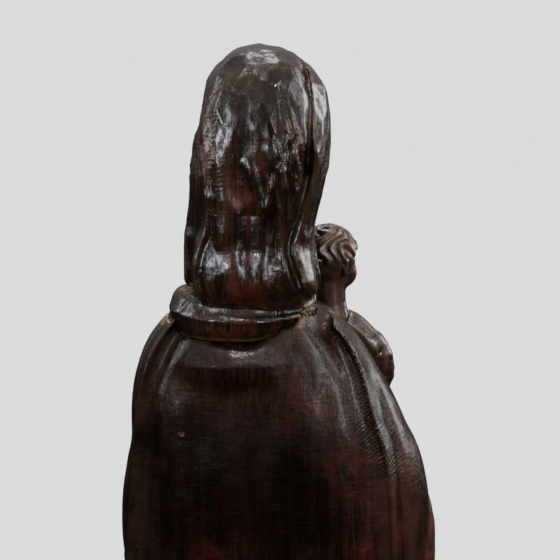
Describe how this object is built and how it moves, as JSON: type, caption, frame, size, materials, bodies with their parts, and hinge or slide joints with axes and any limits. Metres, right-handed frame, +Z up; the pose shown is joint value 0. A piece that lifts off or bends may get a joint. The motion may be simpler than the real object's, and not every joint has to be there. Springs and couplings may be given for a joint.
{
  "type": "madonna statue",
  "caption": "Standing carved wooden Madonna in veil and mantle with the Child seated on her right forearm, on a stepped base board.",
  "frame": {"origin": "middle of the underside of the felt, on the table the statue stands on", "axes": "+Z up, the Madonna faces -Y, her right arm with the Child is towards -X"},
  "size_m": [0.216, 0.19, 0.7596],
  "materials": {
    "mantle_wood": "dark stained hardwood, hand-gouged, worn wax gloss",
    "veil_wood": "dark stained hardwood, hand-gouged, glossy on the ridges",
    "gown_wood": "red-brown stained hardwood, hand-gouged, wax gloss",
    "skin_wood": "smoothly finished red-brown hardwood, wax gloss",
    "base_wood": "dark stained hardwood, satin",
    "dowel_wood": "plain unstained beech",
    "screw_brass": "dull",
    "felt": "short pile"
  },
  "bodies": {
    "root": {"felt_pad": "felt", "plinth": "base_wood", "plinth_screws": "screw_brass", "mantle": "mantle_wood", "gown": "gown_wood", "body_dowels": "dowel_wood", "shoe_tips": "mantle_wood", "collar": "veil_wood", "head": "skin_wood", "veil": "veil_wood", "right_sleeve": "gown_wood", "left_sleeve": "gown_wood", "sleeve_dowels": "dowel_wood", "right_hand": "skin_wood", "left_hand": "skin_wood", "wrist_pegs": "dowel_wood", "child_tunic": "gown_wood", "child_head": "skin_wood", "child_right_arm": "gown_wood", "child_left_arm": "gown_wood", "child_hands": "skin_wood", "child_feet": "skin_wood", "child_dowels": "dowel_wood"}
  },
  "joints": []
}
